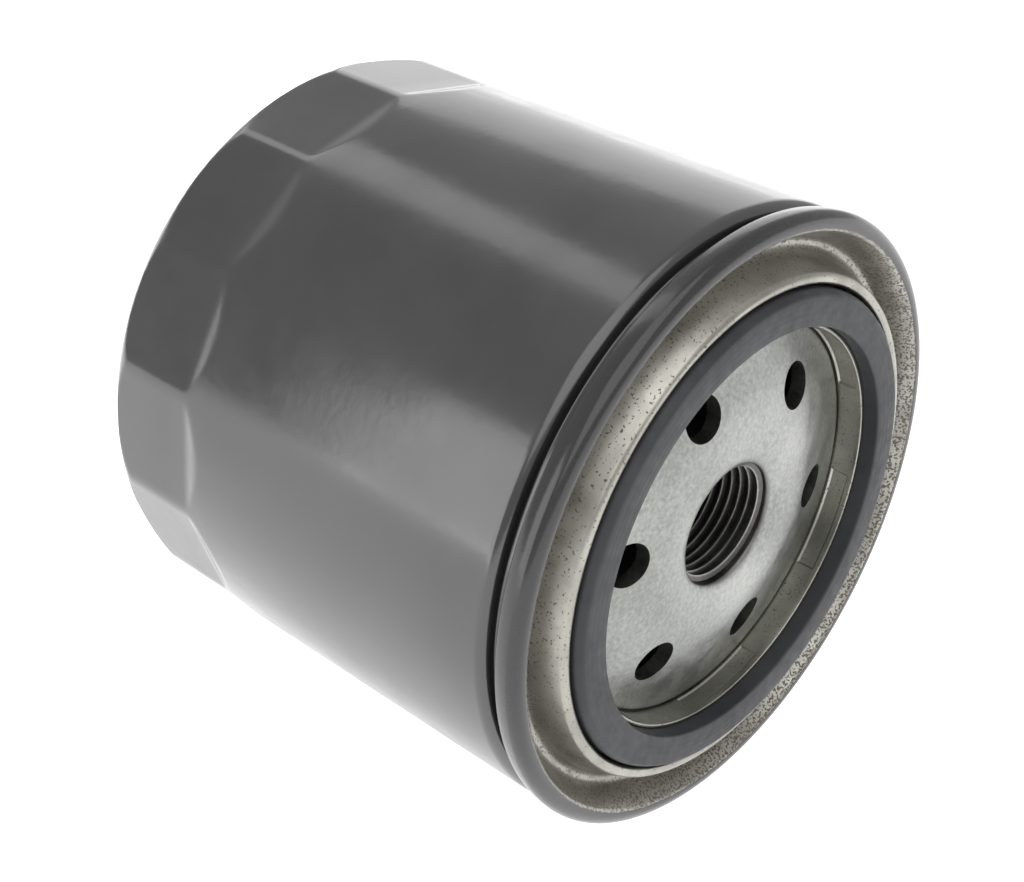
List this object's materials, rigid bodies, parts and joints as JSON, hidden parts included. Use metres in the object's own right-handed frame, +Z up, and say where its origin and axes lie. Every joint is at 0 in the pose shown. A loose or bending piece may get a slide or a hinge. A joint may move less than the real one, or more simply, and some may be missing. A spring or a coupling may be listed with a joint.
{
  "type": "oil filter",
  "caption": "Spin-on oil filter: black painted can with wrench flats, threaded steel base plate with inlet holes, square rubber face gasket, and a working cartridge inside.",
  "frame": {"origin": "centre of the gasket's sealing face", "axes": "+X along the filter's axis, out of its open end; +Z up with the filter lying on its side"},
  "size_m": [0.0898, 0.096, 0.096],
  "materials": {
    "black_paint": "gloss",
    "lid_steel": "satin",
    "plate_steel": "satin",
    "cap_steel": "satin",
    "spring_steel": "satin",
    "black_rubber": "matte",
    "red_rubber": "matte",
    "filter_paper": "matte",
    "adhesive": "satin",
    "seam_compound": "matte"
  },
  "bodies": {
    "housing": {"can": "black_paint", "seaming_lid": "lid_steel", "seam_sealant": "seam_compound", "thread_plate": "plate_steel", "face_gasket": "black_rubber", "element_seal": "red_rubber", "hold_down_spring": "spring_steel"},
    "drain_flap": {"anti_drain_valve": "black_rubber"},
    "element": {"upper_end_cap": "cap_steel", "lower_end_cap": "cap_steel", "upper_adhesive": "adhesive", "lower_adhesive": "adhesive", "pleated_media": "filter_paper", "media_seam_clip": "cap_steel", "centre_tube": "cap_steel", "bypass_seat": "cap_steel", "bypass_valve_cage": "cap_steel", "spring_seat": "cap_steel", "bypass_spring": "spring_steel"},
    "poppet": {"bypass_poppet": "cap_steel", "bypass_seal": "black_rubber", "stem_clip": "spring_steel"}
  },
  "joints": [
    {"name": "anti_drain_lift", "type": "slide", "parent": "housing", "child": "drain_flap", "axis": [-1, 0, 0], "range_m": [0, 0.0012], "stiffness_N_per_m": 400, "springref_m": -0.001, "deforming": ["anti_drain_valve"]},
    {"name": "element_float", "type": "slide", "parent": "housing", "child": "element", "axis": [-1, 0, 0], "range_m": [0, 0.002], "stiffness_N_per_m": 8000, "springref_m": -0.0075, "deforming": ["hold_down_spring"]},
    {"name": "bypass_opening", "type": "slide", "parent": "element", "child": "poppet", "axis": [1, 0, 0], "range_m": [0, 0.0035], "stiffness_N_per_m": 1500, "springref_m": -0.0151, "deforming": ["bypass_spring"]}
  ]
}
